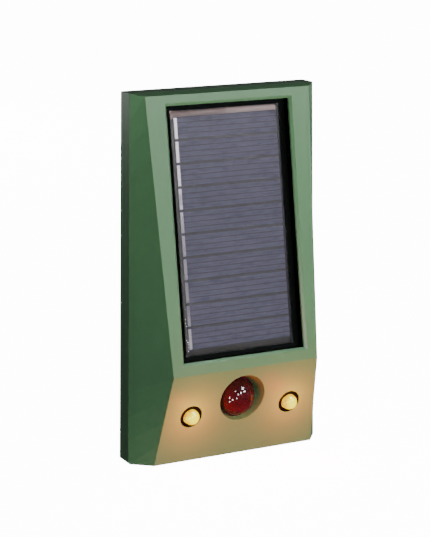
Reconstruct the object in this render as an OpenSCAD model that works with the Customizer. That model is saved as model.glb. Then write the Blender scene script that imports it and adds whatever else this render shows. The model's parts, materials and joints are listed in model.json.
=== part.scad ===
// Solar powered ultrasonic pest repeller for a wall or a fence.
// X runs to the right, Y runs back into the wall and Z runs up.
// The origin lies on the wall, midway between the two keyholes of the rear cover.
// Inside the file a place is given as x, d (distance out from the wall) and h (height above the
// bottom edge of the housing).

/* [Housing] */
// Height of the housing
body_h = 170; // [168:1:174]
// Width of the back at its top edge
top_w = 92.2; // [91:0.2:96]
// Width of the back at its bottom edge
bottom_w = 97.8; // [96:0.2:102]
// Depth of the straight rim, which is the depth of the rear cover
rim_d = 9.4; // [8.6:0.1:9.6]
// Wall thickness of both shells
wall = 2.2; // [2:0.1:2.3]
// Radius of the two lower corners of the back
corner_r = 1; // [1:0.2:4]
// Height of the ridge where the two front faces meet
ridge_h = 45.4; // [45:0.1:46]
// Distance of the ridge from the wall
ridge_d = 32.9; // [32.5:0.1:35]
// Width of the front at the ridge
ridge_w = 73.6; // [72:0.2:76]
// Distance of the front's top edge from the wall
brow_d = 14.6; // [14.4:0.1:16]
// Width of the front's top edge
brow_w = 82.2; // [81:0.2:84]
// How far the front's top edge lies below the top of the housing
brow_drop = 1.1; // [0.6:0.1:1.4]
// Distance of the front's bottom edge from the wall
foot_d = 20.3; // [20:0.1:22]
// Width of the front's bottom edge
foot_w = 81.8; // [80:0.2:84]
// How far the front's bottom edge lies above the bottom of the housing
foot_rise = 1.2; // [1:0.1:2]

/* [Solar panel] */
// Width of the window in the upper front face
window_w = 61.6; // [60:0.2:62]
// Length of the window along the slope
window_l = 114.4; // [113:0.2:115]
// Height of the middle of the window
window_h = 107.6; // [107:0.1:108]
// Width of the bevel round the window
window_bevel = 1.1; // [0.5:0.1:1.4]
// Width of the solar panel
panel_w = 55; // [52:0.5:56]
// Length of the solar panel
panel_l = 110; // [106:0.5:111]
// How far the panel's surface lies below the front face
panel_sink = 4; // [3.8:0.1:4.4]
// Number of cell strips
strip_count = 10; // [6:1:14]
// Gap between two cell strips
strip_gap = 0.5; // [0.3:0.1:1]

/* [Motion sensor] */
// Height of the lens centre
lens_h = 29.3; // [29:0.1:30.4]
// Radius of the lens dome
lens_r = 9.2; // [8.6:0.1:9.3]
// Radius of the funnel round the lens at the front face
funnel_r = 11.3; // [11:0.1:11.6]

/* [Lights] */
// Distance of each light from the middle
light_x = 25.3; // [25:0.1:26]
// Height of the lights
light_h = 24.3; // [24:0.1:24.8]
// Radius of the lens of a light
light_r = 3.6; // [3:0.1:4]
// Radius of the hole in the front face for a light
light_hole_r = 5.4; // [5.3:0.1:5.6]

/* [Sound] */
// Radius of the ultrasonic transducer
transducer_r = 8; // [7:0.1:8]
// Height of the transducer's can
transducer_l = 12; // [10:0.5:12]
// Radius of the sound port in the underside
port_r = 6; // [5:0.2:6.2]

/* [Batteries] */
// Diameter of a rechargeable cell
cell_d = 10.5; // [10:0.1:10.5]
// Length of a cell over its terminals
cell_l = 44.5; // [44:0.1:44.6]
// Distance from one cell to the next
cell_pitch = 11.5; // [11:0.1:11.6]
// Height of the middle cell
cell_h = 72.5; // [72:0.5:74]

/* [Back] */
// Distance between the two keyholes
keyhole_gap = 44; // [40:1:46]
// Height of the keyholes' round entries
keyhole_h = 120; // [118:1:121]
// Radius of a keyhole's round entry
keyhole_r = 4.25; // [4:0.05:4.5]
// Width of a keyhole's slot
keyhole_slot = 4.4; // [3.5:0.1:4.6]
// Length of a keyhole's slot above the entry's centre
keyhole_rise = 9; // [7:0.5:10]
// Place of the power switch beside the middle
switch_x = 28; // [26:1:29]
// Height of the power switch
switch_h = 34; // [33:0.5:35]
// Travel of the power switch
switch_travel = 3; // [2:0.5:3]

/* [Hidden] */
$fn = 48;

housing_green = "#7f9f82";
cover_green = "#5c7058";
soot = "#17191b";
steel = "#b9bcc0";
copper = "#b87333";

// Housing
brow_h = body_h - brow_drop;
slope_up = atan((ridge_d - brow_d) / (brow_h - ridge_h));
slope_down = atan((ridge_d - foot_d) / (ridge_h - foot_rise));
side_steps_low = 4;
side_steps_high = 10;
corner_shift = 0.64; // sideways shift of a front corner for each millimetre of wall
lip_t = 1.2;
lip_gap = 0.1;
lip_back = 2.6; // how far the lip reaches into the rear cover
gasket_t = 0.8;
ledge_d = rim_d - lip_back - gasket_t;
back_t = 2.4; // thickness of the rear cover's flat back
far = 60; // further than anything reaches, for cuts that go right out

// Cover screws at [x, h]
cover_screw_at = [[38, body_h - 9], [40, 9]];
post_r = 3.7;
post_d = 6; // where the two shells' screw posts meet
screw_head_d = 2.9;
cover_screw_l = 10;
cover_screw_r = 1.5;
cover_head_r = 2.75;
cover_head_t = 2;

// Window, tray and panel, in the plane of the upper front face
window_d = brow_d + (brow_h - window_h) * tan(slope_up);
tray_clear = 0.4;
tray_t = 1.5;
tray_in_w = window_w + 2 * tray_clear;
tray_in_l = window_l + 2 * tray_clear;
seal_t = 0.5;
coat_t = 1.2;
strip_t = 0.25;
backing_t = 1.2;
tape_t = 0.5;
coat_bottom = panel_sink + coat_t;
backing_bottom = coat_bottom + backing_t;
tray_floor = backing_bottom + tape_t;
tray_back = tray_floor + tray_t;
ear_x = 34.6;
ear_r = 1.8;
ear_in = 4.2;
ear_w = 2.6;
tray_pilot_r = 1.05;
tray_screw_r = 1;
tray_head_r = 1.7;
tray_head_t = 1.2;
ear_at = [-48, 33];
lead_exit = -50; // where the panel's leads leave the tray, along the slope
lead_r = 0.65;
lead_hole_r = 0.85;
lead_x = [-9, -7];
panel_edge = 2.6; // bare border above the first strip and below the last one
strip_pitch = (panel_l - 2 * panel_edge) / strip_count;
ribbon_w = 1.4;
strip_w = panel_w - 3.2;
tape_at = [-30, 10, 40];

// Motion sensor
lens_centre_d = 21.1;
lens_t = 0.8;
flange_r = 11;
flange_d = 21.4;
funnel_base_r = lens_r + 0.4;
funnel_back_d = flange_d + lens_t;
funnel_flare = (funnel_r - funnel_base_r) / (low_face_d(lens_h) - funnel_back_d);
sleeve_r = 13; // outside of the funnel's wall
shroud_r = 10.2;
can_r = 4.6;
can_top_d = 20.5;
filter_half = [2.1, 1.6]; // half width and half height of the sensor's filter
pin_circle = 2.54;
pin_turns = [0, 90, 180];

// Circuit board
board_d = 14.4;
board_t = 1.6;
board_front = board_d + board_t;
board_half = 38;
board_low = 19;
board_high = 49.5;
board_screw_at = [[35, 22.5], [33, 45]];
board_boss_r = 2.6;
board_pilot_r = 1.05; // a little wider than the thread
board_pilot_d = 22.5;
board_screw_r = 1;
board_screw_l = 7.6;
board_head_r = 2.2;
board_head_t = 1.4;
chip_x = 15;
chip_h = 33;
chip_l = 10;
chip_half = 2;
big_capacitor = [34, 34]; // capacitors, coil and transistor at [x, h]
small_capacitor = [-20, 45.2];
coil = [-33.5, 34];
coil_r = 1.8;
coil_flange_r = 3.6;
coil_l = 8;
flange_t = 1.2;
wire_layers = 7;
transistor_at = [13.5, 22.8];
resistor_at = [6, 43.2];
resistor_count = 7;
resistor_pitch = 3.4;
crystal_x = -13.5;
crystal_r = 1.5;
crystal_l = 6.2;
leg_count = 8;
leg_pitch = 1.2;
leg_w = 0.4;
leg_t = 0.2;

// Lights
light_front = 27.2;
light_base = 18;
light_gap = 0.15;
holder_r = light_hole_r - light_gap;
holder_sink = 0.25; // how far the holders' sloping fronts lie below the lower front face
light_pin = 1.27;
collar_d = 20.9;
collar_t = 1.4;

// Sound
port_d = 10.8;
pad_h = 4;
pad_half = 10;
pad_d = 18.4;
grille_face = 1.3;
grille_t = 1.2;
grille_hole_r = 0.75;
grille_rings = [[1, 0], [6, 2], [11, 4]]; // number of holes and radius of each ring
grille_flange_t = 0.8;
mesh_t = 0.2;
transducer_seal_t = 0.8;
can_low = pad_h + grille_flange_t + mesh_t + transducer_seal_t;
can_high = can_low + transducer_l;
rib_gap = 0.3;
rib_t = 1.5;
rib_d = 18;
rib_h = 14;
cone_low = can_low + 2;
cone_l = 2.4;
disc_low = can_low + 5.8;
disc_t = 0.8;
disc_r = 5;
base_t = 2;
transducer_pin_x = 3.5;
transducer_pin_top = 21.2;

// Batteries
cell_r = cell_d / 2;
door_face = 0.1; // the door lies just inside the wall plane
door_t = 2.2;
door_gasket_t = 0.5;
door_ledge = door_face + door_t + door_gasket_t;
door_half = 31.6;
door_gap = 0.3;
door_low = cell_h - 20.5;
door_high = cell_h + 20.5;
door_frame_d = 4.6;
door_frame_w = 1.5;
door_screw_x = 28.9;
door_screw_r = 1.25;
door_screw_d = 8; // where the tip of a door screw ends
door_head_r = 2.45;
door_post_r = 3;
door_post_d = 9.5;
cell_front = 3.2;
cell_mid_d = cell_front + cell_r;
well_half = cell_l / 2 + 1.95;
well_low = cell_h - cell_pitch - cell_r - 0.55;
well_high = cell_h + cell_pitch + cell_r + 0.55;
well_floor = cell_front + cell_d + 0.3;
well_t = 1.5;
plate_t = 0.4;
plate_half = 4.2;
nub_l = 0.8;
nub_r = 1.9;

// Keyhole pockets, measured from the keyholes' round entries
pocket_half = 6.5;
pocket_low = -5.5;
pocket_high = keyhole_rise + 4.5;
pocket_d = 8.1;
pocket_t = 1.5;

// Power switch
switch_pad_d = 4.4;
switch_pad_half = [10.6, 4.6];
switch_recess_half = [5.2, 3.5];
switch_recess_d = 3;
switch_screw_x = 8.2;
knob_w = 3.8;
knob_h = 3;
slot_gap = 0.3;
knob_slot = knob_w + switch_travel + 2 * slot_gap;
frame_l = 13;
frame_w = 5.8;
frame_deep = 4.2;
frame_t = 0.5;
frame_side_t = 0.4;
lug_at = [-4, 0, 4];
lug_tip_d = 11.6;
knob_face_d = 0.8;
knob_collar_d = 5.2;
knob_collar_t = 1.6;
knob_collar_half = [3.1, 2.1];
groove_pitch = 1.1;
groove_w = 0.5;
switch_base_d = 7.5;
lug_half = [0.6, 0.25];
switch_head_r = 1.7;
switch_head_t = 1.1;
switch_screw_r = 0.95;

// Routes of the leads, each as [x, d, h]
solar_red_route = [[-7, 24.4, 57], [-7, 21.8, 56.4], [-7, 19.6, 53.5], [-7, 18.8, 50], [-7, 18.6, 47.8]];
solar_black_route = [[-9, 24.4, 57], [-9, 22, 56.2], [-9, 19.9, 53], [-9, 18.9, 50], [-9, 18.6, 47.8]];
battery_red_route = [[24.7, 8.4, 61], [27.4, 8.5, 60.6], [28.6, 9.6, 57], [27, 10.5, 52.4], [20, 10.6, 51.5],
    [0, 10.6, 51.5], [-18, 10.6, 51.5], [-24, 11, 50.6], [-25, 11.5, 48], [-25, 11.5, 46.8]];
battery_black_route = [[-24.7, 8.4, 84], [-27.2, 8.7, 83.6], [-28.3, 10.6, 80], [-28.5, 11, 72],
    [-28.4, 11, 60], [-28, 11, 53], [-27, 11.5, 48], [-27, 11.5, 46.8]];
transducer_red_route = [[3.5, 10.8, 21.2], [3.2, 9.6, 24], [-2, 8, 26], [-10, 8, 26], [-15.6, 9, 25],
    [-17, 10.9, 25.4], [-17, 11.4, 26.2], [-17, 11.4, 27.15]];
transducer_black_route = [[-3.5, 10.8, 21.2], [-4.3, 10.6, 23.2], [-8, 10.4, 24], [-12.4, 10.8, 24],
    [-15, 11.4, 25.4], [-15, 11.4, 27.15]];
switch_near_route = [[24, 11.7, 34], [24, 12.6, 34.9], [24.9, 12.8, 38.5], [26, 12, 41.4], [26, 12, 42.65]];
switch_far_route = [[28, 11.7, 34], [28, 12.6, 34.9], [28.3, 12.8, 38.5], [28, 12, 41.4], [28, 12, 42.65]];

// Connectors at [x, h]
rear_connectors = [[-26, 44], [27, 45.5], [-16, 30]];
front_connectors = [[-8, 45]];
connector_w = 6;
connector_l = 5.5;
connector_deep = 5;

// ---- Helpers ----------------------------------------------------------------------------------

// Moves a piece from heights above the bottom edge to the origin between the keyholes
module hung() translate([0, 0, -keyhole_h]) children();

// Box from corner to corner, given as x, d and h
module slab(x0, x1, d0, d1, h0, h1) translate([x0, -d1, h0]) cube([x1 - x0, d1 - d0, h1 - h0]);

// Round bar or cone that points out from the wall
module rod(x, h, d0, d1, r, r_end = -1)
    translate([x, -d0, h]) rotate([90, 0, 0]) cylinder(h = d1 - d0, r1 = r, r2 = r_end < 0 ? r : r_end);

// Ring round such a bar
module ring(x, h, d0, d1, r_out, r_in)
    difference() {
        rod(x, h, d0, d1, r_out);
        rod(x, h, d0 - 1, d1 + 1, r_in);
    }

// Upright round bar
module post(x, d, h0, h1, r, r_end = -1)
    translate([x, -d, h0]) cylinder(h = h1 - h0, r1 = r, r2 = r_end < 0 ? r : r_end);

// Plane of the upper front face: local Y runs into the housing and local Z up the slope
module on_window() translate([0, -window_d, window_h]) rotate([-slope_up, 0, 0]) children();

// Block in that plane, centred on the window
module inlay(w, l, p0, p1, x = 0, v = 0)
    translate([x - w / 2, p0, v - l / 2]) cube([w, p1 - p0, l]);

// Round bar in that plane
module pin(x, v, p0, p1, r) translate([x, p0, v]) rotate([-90, 0, 0]) cylinder(h = p1 - p0, r = r);

module both_sides() for (s = [-1, 1]) scale([s, 1, 1]) children();

function half_at(h) = (bottom_w + (top_w - bottom_w) * h / body_h) / 2;

function blend(a, b, t) = a + (b - a) * t;

// Front distance of the lower front face at height h
function low_face_d(h) = foot_d + (h - foot_rise) * tan(slope_down);

// Outline of the back, drawn a little smaller all round
module outline(inset) {
    r = max(corner_r - inset, 0.6);
    low = half_at(inset) - inset;
    high = half_at(body_h - inset) - inset;
    difference() {
        polygon([[-low, inset], [low, inset], [high, body_h - inset], [-high, body_h - inset]]);
        for (s = [-1, 1]) translate([s * (low - r), inset + r]) difference() {
            translate([s > 0 ? 0 : -r - 1, -r - 1]) square([r + 1, r + 1]);
            circle(r);
        }
    }
}

module outline_prism(inset, d0, d1)
    translate([0, -d0, 0]) rotate([90, 0, 0]) linear_extrude(d1 - d0) outline(inset);

module outline_ring(inset, t, d0, d1)
    difference() {
        outline_prism(inset, d0, d1);
        outline_prism(inset + t, d0 - 1, d1 + 1);
    }

// Wedge with a straight rim, ruled sides and two front faces. t is how far every face is set in.
module wedge(t) {
    steps = side_steps_low + side_steps_high;
    foot = [foot_w / 2 - corner_shift * t, foot_d + t * tan(slope_down) - t / cos(slope_down), foot_rise + t];
    ridge = [ridge_w / 2 - corner_shift * t, ridge_d - t / cos(slope_up), ridge_h];
    brow = [brow_w / 2 - corner_shift * t, brow_d + t * tan(slope_up) - t / cos(slope_up), brow_h - t];
    fronts = [for (i = [0 : steps]) i < side_steps_low ? blend(foot, ridge, i / side_steps_low)
        : blend(ridge, brow, (i - side_steps_low) / side_steps_high)];
    rims = [for (i = [0 : steps]) i < side_steps_low ? blend(t, ridge_h, i / side_steps_low)
        : blend(ridge_h, body_h - t, (i - side_steps_low) / side_steps_high)];
    points = [for (i = [0 : steps]) let (w = half_at(rims[i]) - t, f = fronts[i], rim = rim_d - 0.23 * t)
        each [[-w, 1, rims[i]], [w, 1, rims[i]], [w, -rim, rims[i]],
            [f[0], -f[1], f[2]], [-f[0], -f[1], f[2]], [-w, -rim, rims[i]]]];
    flat_sides = [for (i = [0 : steps - 1], k = [0, 1, 3, 5])
        [6 * i + k, 6 * i + (k + 1) % 6, 6 * i + 6 + (k + 1) % 6, 6 * i + 6 + k]];
    ruled_sides = [for (i = [0 : steps - 1], tri = [[2, 3, 9], [2, 9, 8], [4, 5, 10], [5, 11, 10]])
        [for (v = tri) 6 * i + v]];
    top = 6 * steps;
    ends = [[5, 2, 1, 0], [4, 3, 2, 5],
        [top, top + 1, top + 2, top + 5], [top + 5, top + 2, top + 3, top + 4]];
    polyhedron(points, concat(flat_sides, ruled_sides, ends), convexity = 4);
}

// Everything that lies within the outside of the front housing
module within_front()
    intersection() {
        wedge(0);
        outline_prism(0, 0, ridge_d + 1);
        children();
    }

function unit(v) = v / norm(v);

// Point of a smooth curve through route points, at t from p[i] to p[i + 1]
function curve_point(p, i, t) = let (a = p[max(i - 1, 0)], b = p[i], c = p[i + 1],
    d = p[min(i + 2, len(p) - 1)])
    0.5 * (2 * b + (c - a) * t + (2 * a - 5 * b + 4 * c - d) * t * t + (3 * b - a - 3 * c + d) * t * t * t);

// Tube of eight sides along a list of points
module tube(path, r, guide) {
    last = len(path) - 1;
    sides = 8;
    points = [for (i = [0 : last]) let (along = unit(path[min(i + 1, last)] - path[max(i - 1, 0)]),
        u = unit(cross(along, guide)), v = cross(along, u))
        for (k = [0 : sides - 1]) path[i] + r * (cos(360 * k / sides) * u + sin(360 * k / sides) * v)];
    skin = [for (i = [0 : last - 1], k = [0 : sides - 1]) let (n = (k + 1) % sides)
        each [[sides * i + k, sides * i + sides + k, sides * i + sides + n],
            [sides * i + k, sides * i + sides + n, sides * i + n]]];
    start = [for (k = [0 : sides - 1]) k];
    end = [for (k = [sides - 1 : -1 : 0]) sides * last + k];
    polyhedron(points, concat(skin, [start, end]), convexity = 6);
}

// Insulated lead along a route
module lead(route, guide = [1, 0.02, 0.01], steps = 3) {
    p = [for (q = route) [q[0], -q[1], q[2]]];
    tube(concat([for (i = [0 : len(p) - 2], k = [0 : steps - 1]) curve_point(p, i, k / steps)],
        [p[len(p) - 1]]), lead_r, guide);
}

// Cross slot in a screw's head
module cross_slot(r, deep) {
    for (a = [0, 90]) rotate([0, 0, a]) translate([-r, -0.3, -deep]) cube([2 * r, 0.6, deep + 1]);
}

// Screw that points out from the wall, its head towards the wall at distance d
module screw(x, h, d, head_r, head_t, r, l)
    translate([x, -d, h]) rotate([90, 0, 0]) {
        translate([0, 0, -head_t]) difference() {
            cylinder(h = head_t, r = head_r);
            mirror([0, 0, 1]) cross_slot(head_r * 0.6, head_t * 0.55);
        }
        cylinder(h = l, r = r);
    }

// ---- Shells -----------------------------------------------------------------------------------

// Places of one piece at each cover screw
module at_cover_screws() both_sides() for (p = cover_screw_at) translate([p[0], 0, p[1]]) children();

module front_housing() {
    color(housing_green) hung() difference() {
        union() {
            difference() {
                within_front() slab(-far, far, rim_d, far, -1, body_h + 1);
                wedge(wall);
            }
            within_front() housing_bosses();
            difference() {
                within_front() outline_ring(wall + lip_gap, lip_t, rim_d - lip_back, rim_d + 3);
                slab(-pad_half - lip_gap, pad_half + lip_gap, 0, rim_d, 0, 8);
            }
        }
        window_opening();
        rod(0, lens_h, funnel_back_d - 1, far, funnel_base_r - funnel_flare,
            funnel_base_r + funnel_flare * (far - funnel_back_d));
        both_sides() rod(light_x, light_h, board_front, far, light_hole_r);
        at_cover_screws() rod(0, 0, post_d - 1, screw_head_d + cover_screw_l + 0.3, cover_screw_r + 0.05);
        both_sides() for (p = board_screw_at) rod(p[0], p[1], board_front - 1, board_pilot_d, board_pilot_r);
        on_window() for (x = [-ear_x, ear_x], v = ear_at) pin(x, v, 1.2, 8, tray_pilot_r);
        post(0, port_d, -1, pad_h + 1, port_r);
    }
}

// Bosses, funnel, sound pad and ribs inside the front housing
module housing_bosses() {
    at_cover_screws() rod(0, 0, post_d, 20, post_r);
    both_sides() for (p = board_screw_at) rod(p[0], p[1], board_front, far, board_boss_r);
    rod(0, lens_h, funnel_back_d, far, sleeve_r);
    on_window() for (x = [-ear_x, ear_x], v = ear_at) pin(x, v, 1, ear_in, ear_r);
    slab(-pad_half, pad_half, rim_d, pad_d, 0, pad_h);
    both_sides() slab(transducer_r + rib_gap, transducer_r + rib_gap + rib_t, rim_d, rib_d, 0, rib_h);
}

// Window with a bevelled edge
module window_opening() {
    on_window() {
        inlay(window_w, window_l, -4, 6);
        hull() {
            inlay(window_w + 2 * window_bevel, window_l + 2 * window_bevel, -0.1, 0);
            inlay(window_w, window_l, window_bevel, window_bevel + 0.1);
        }
    }
}

module rear_cover() {
    color(cover_green) hung() difference() {
        union() {
            outline_prism(0, 0, back_t);
            outline_ring(0, wall, 0, rim_d);
            outline_ring(wall - 0.1, lip_t + lip_gap + 0.1, 0, ledge_d);
            at_cover_screws() rod(0, 0, 0, post_d, post_r);
            slab(-door_half - door_frame_w, door_half + door_frame_w, 0, door_frame_d,
                door_low - door_frame_w, door_high + door_frame_w);
            slab(-well_half - well_t, well_half + well_t, 0, well_floor + well_t, well_low - well_t,
                well_high + well_t);
            both_sides() rod(door_screw_x, cell_h, 0, door_post_d, door_post_r);
            both_sides() keyhole_pocket(pocket_t, 0);
            at_switch() slab(-switch_pad_half[0], switch_pad_half[0], 0, switch_pad_d,
                -switch_pad_half[1], switch_pad_half[1]);
            slab(-pad_half, pad_half, 0, rim_d, 0, pad_h);
            both_sides() slab(transducer_r + rib_gap, transducer_r + rib_gap + rib_t, 0, rim_d - 0.2,
                1, rib_h);
        }
        at_cover_screws() {
            rod(0, 0, -1, screw_head_d, cover_head_r + 0.35);
            rod(0, 0, 0, post_d + 1, cover_screw_r + 0.2);
        }
        slab(-door_half, door_half, -1, door_ledge, door_low, door_high);
        slab(-well_half, well_half, -1, well_floor, well_low, well_high);
        both_sides() rod(door_screw_x, cell_h, 0, door_screw_d + 0.5, door_screw_r + 0.05);
        both_sides() keyhole();
        at_switch() {
            slab(-switch_recess_half[0], switch_recess_half[0], -1, switch_recess_d,
                -switch_recess_half[1], switch_recess_half[1]);
            slab(-knob_slot / 2, knob_slot / 2, 0, 5, -knob_h / 2 - slot_gap, knob_h / 2 + slot_gap);
            for (s = [-1, 1]) rod(s * switch_screw_x, 0, 1.6, 5, switch_screw_r + 0.05);
        }
        post(0, port_d, -1, pad_h + 1, port_r);
        well_lead_hole(1, cell_h - cell_pitch);
        well_lead_hole(-1, cell_h + cell_pitch);
    }
}

// Hole for a lead in the end wall of the battery well
module well_lead_hole(side, h)
    translate([side * (well_half - 1), -cell_mid_d, h]) rotate([0, side * 90, 0]) cylinder(h = 4, r = 1);

// Block behind a keyhole, from distance d0 out and as thick round the pocket as given
module keyhole_pocket(t, d0)
    translate([keyhole_gap / 2, 0, keyhole_h])
        slab(-pocket_half - t, pocket_half + t, d0, pocket_d + t, pocket_low - t, pocket_high + t);

// Keyhole and the closed pocket behind it for the head of a wall screw
module keyhole() {
    translate([keyhole_gap / 2, 0, keyhole_h]) {
        rod(0, 0, -1, back_t + 0.6, keyhole_r);
        slab(-keyhole_slot / 2, keyhole_slot / 2, -1, back_t + 0.6, 0, keyhole_rise);
        rod(0, keyhole_rise, -1, back_t + 0.6, keyhole_slot / 2);
    }
    keyhole_pocket(0, back_t);
}

module housing_gasket() {
    color(soot) hung() difference() {
        outline_ring(wall + lip_gap, lip_t, ledge_d, rim_d - lip_back);
        slab(-pad_half - lip_gap, pad_half + lip_gap, 0, rim_d, 0, 8);
    }
}

module cover_screws() {
    color(steel) hung() at_cover_screws()
        screw(0, 0, screw_head_d, cover_head_r, cover_head_t, cover_screw_r, cover_screw_l);
}

// ---- Solar panel ------------------------------------------------------------------------------

module solar_tray() {
    color(soot) hung() on_window() difference() {
        union() {
            inlay(tray_in_w + 2 * tray_t, tray_in_l + 2 * tray_t, wall + seal_t, tray_back);
            for (x = [-ear_x, ear_x], v = ear_at) {
                pin(x, v, ear_in, ear_in + tray_t, ear_r);
                inlay(ear_w, 1.6 * ear_r, ear_in, ear_in + tray_t, sign(x) * (ear_x - ear_w / 2), v);
            }
        }
        inlay(tray_in_w, tray_in_l, 0, tray_floor);
        for (x = [-ear_x, ear_x], v = ear_at) pin(x, v, 0, 10, tray_screw_r + 0.15);
        for (x = lead_x) pin(x, lead_exit, 0, 10, lead_hole_r);
    }
}

// Foam frame between the front housing and the tray
module tray_seal() {
    color("#2a2c2e") hung() on_window() difference() {
        inlay(tray_in_w + 2 * tray_t, tray_in_l + 2 * tray_t, wall, wall + seal_t);
        inlay(tray_in_w, tray_in_l, 0, 5);
    }
}

module tray_screws() {
    color(steel) hung() on_window() for (x = [-ear_x, ear_x], v = ear_at) {
        translate([x, ear_in + tray_t, v]) rotate([90, 0, 0]) {
            translate([0, 0, -tray_head_t]) difference() {
                cylinder(h = tray_head_t, r = tray_head_r);
                mirror([0, 0, 1]) cross_slot(tray_head_r * 0.65, tray_head_t * 0.6);
            }
            cylinder(h = ear_in, r = tray_screw_r);
        }
    }
}

module solar_tape() {
    color("#e8e6df") hung() on_window()
        for (v = tape_at) inlay(36, 14, backing_bottom, tray_floor, 0, v);
}

module solar_backing() {
    color("#3a3f38") hung() on_window() inlay(panel_w, panel_l, coat_bottom, backing_bottom);
}

// Places of the strips along the slope
function strip_at(i) = (i - (strip_count - 1) / 2) * strip_pitch;

module solar_cells() {
    color("#6c6c80") hung() on_window() for (i = [0 : strip_count - 1])
        inlay(strip_w, strip_pitch - strip_gap, coat_bottom - strip_t, coat_bottom, 0, strip_at(i));
}

module solar_ribbons() {
    color("#e6dfe2") hung() on_window() for (i = [0 : strip_count - 1])
        inlay(ribbon_w, strip_pitch - 2.6 * strip_gap, coat_bottom - strip_t - 0.1, coat_bottom - strip_t,
            (ribbon_w - strip_w) / 2 + 0.2, strip_at(i));
}

// Clear cast coating with rounded corners and a sloping edge
module solar_coating() {
    r = 2.2;
    color([0.8, 0.85, 0.9, 0.35]) hung() on_window() difference() {
        hull() for (x = [-1, 1], v = [-1, 1])
            translate([x * (panel_w / 2 - r), 0, v * (panel_l / 2 - r)]) {
                pin(0, 0, panel_sink + 0.6, coat_bottom, r, $fn = 32);
                pin(0, 0, panel_sink, panel_sink + 0.1, r - 0.8, $fn = 32);
            }
        inlay(strip_w + 0.1, panel_l - 2 * panel_edge + 0.1, coat_bottom - strip_t - 0.1, coat_bottom + 1);
    }
}

module solar_lead_red() {
    color("#b3261e") hung() lead(solar_red_route);
}

module solar_lead_black() {
    color(soot) hung() lead(solar_black_route);
}

// ---- Motion sensor ----------------------------------------------------------------------------

module pir_lens() {
    color("#6e1618") hung() difference() {
        union() {
            rod(0, lens_h, flange_d, flange_d + lens_t, flange_r);
            translate([0, -lens_centre_d, lens_h]) sphere(lens_r);
        }
        translate([0, -lens_centre_d, lens_h]) sphere(lens_r - lens_t);
        slab(-20, 20, 5, flange_d, lens_h - 20, lens_h + 20);
    }
}

// Dark tube that keeps stray light off the sensor
module pir_shroud() {
    color(soot) hung() ring(0, lens_h, board_front, flange_d, shroud_r, shroud_r - 1.9);
}

module pir_sensor() {
    color(steel) hung() difference() {
        union() {
            rod(0, lens_h, board_front + 0.3, can_top_d, can_r);
            rod(0, lens_h, board_front + 0.3, board_front + 0.8, can_r + 0.4);
        }
        sensor_filter(can_top_d + 1);
    }
}

// Filter let into the top of the sensor's can, up to distance d1
module sensor_filter(d1)
    slab(-filter_half[0], filter_half[0], can_top_d - 0.3, d1,
        lens_h - filter_half[1], lens_h + filter_half[1]);

module pir_window() {
    color("#3b2c3f") hung() sensor_filter(can_top_d - 0.05);
}

module pir_legs() {
    color(steel) hung() for (a = pin_turns)
        rod(pin_circle * cos(a), lens_h + pin_circle * sin(a), board_front, board_front + 0.3, 0.25);
}

// ---- Lights -----------------------------------------------------------------------------------

module light_lens(x) {
    rod(x, light_h, light_base, light_base + 1, light_r + 0.6);
    rod(x, light_h, light_base, light_front, light_r);
    translate([x, -light_front, light_h]) sphere(light_r);
}

module light_left() {
    color("#f2d24a") hung() light_lens(-light_x);
}

module light_right() {
    color("#f2d24a") hung() light_lens(light_x);
}

// Everything that lies in front of the lower front face, or less far out by the amount given
module before_low_face(t)
    translate([0, t / cos(slope_down) - foot_d, foot_rise]) rotate([slope_down, 0, 0])
        translate([-far, -far, -far]) cube([2 * far, far, 2 * far]);

// Black sleeve that lines the hole, cut off along the sloping face, with a collar behind the wall
module light_holder(x) {
    difference() {
        ring(x, light_h, light_base + 1, far / 2, holder_r, light_r + light_gap);
        before_low_face(holder_sink);
    }
    ring(x, light_h, collar_d, collar_d + collar_t, holder_r + 1, light_r + light_gap);
}

module light_holder_left() {
    color(soot) hung() light_holder(-light_x);
}

module light_holder_right() {
    color(soot) hung() light_holder(light_x);
}

module light_legs() {
    color(steel) hung() for (x = [-light_x, light_x], s = [-1, 1])
        rod(x + s * light_pin, light_h, board_front, light_base, 0.28);
}

// ---- Circuit board ----------------------------------------------------------------------------

module circuit_board() {
    color("#1f6b3a") hung() difference() {
        slab(-board_half, board_half, board_d, board_front, board_low, board_high);
        both_sides() for (p = board_screw_at) rod(p[0], p[1], board_d - 1, board_front + 1, 1.3);
    }
}

module board_screws() {
    color(steel) hung() both_sides() for (p = board_screw_at)
        screw(p[0], p[1], board_d, board_head_r, board_head_t, board_screw_r, board_screw_l);
}

module chips() {
    color("#202326") hung() both_sides() slab(chip_x - chip_half, chip_x + chip_half, board_front + 0.1,
        board_front + 1.6, chip_h - chip_l / 2, chip_h + chip_l / 2);
}

module chip_legs() {
    foot_l = 1.2;
    color(steel) hung() both_sides() for (s = [-1, 1], i = [0 : leg_count - 1])
        translate([chip_x + s * chip_half, 0, chip_h + (i - (leg_count - 1) / 2) * leg_pitch - leg_w / 2]) {
            slab(min(0, s * foot_l), max(0, s * foot_l), board_front, board_front + leg_t, 0, leg_w);
            slab(min(0, s * leg_t), max(0, s * leg_t), board_front, board_front + 0.9, 0, leg_w);
        }
}

module crystal() {
    color(steel) hung()
        post(crystal_x, board_front + crystal_r, board_low + 1, board_low + 1 + crystal_l, crystal_r);
}

module capacitors() {
    color("#23303f") hung() {
        rod(big_capacitor[0], big_capacitor[1], board_front, board_front + 7.5, 3.15);
        rod(small_capacitor[0], small_capacitor[1], board_front, board_front + 5, 2.5);
    }
}

module coil_core() {
    color("#3a3a3c") hung() {
        rod(coil[0], coil[1], board_front, board_front + coil_l, coil_r);
        for (d = [0, coil_l - flange_t])
            rod(coil[0], coil[1], board_front + d, board_front + d + flange_t, coil_flange_r);
    }
}

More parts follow.
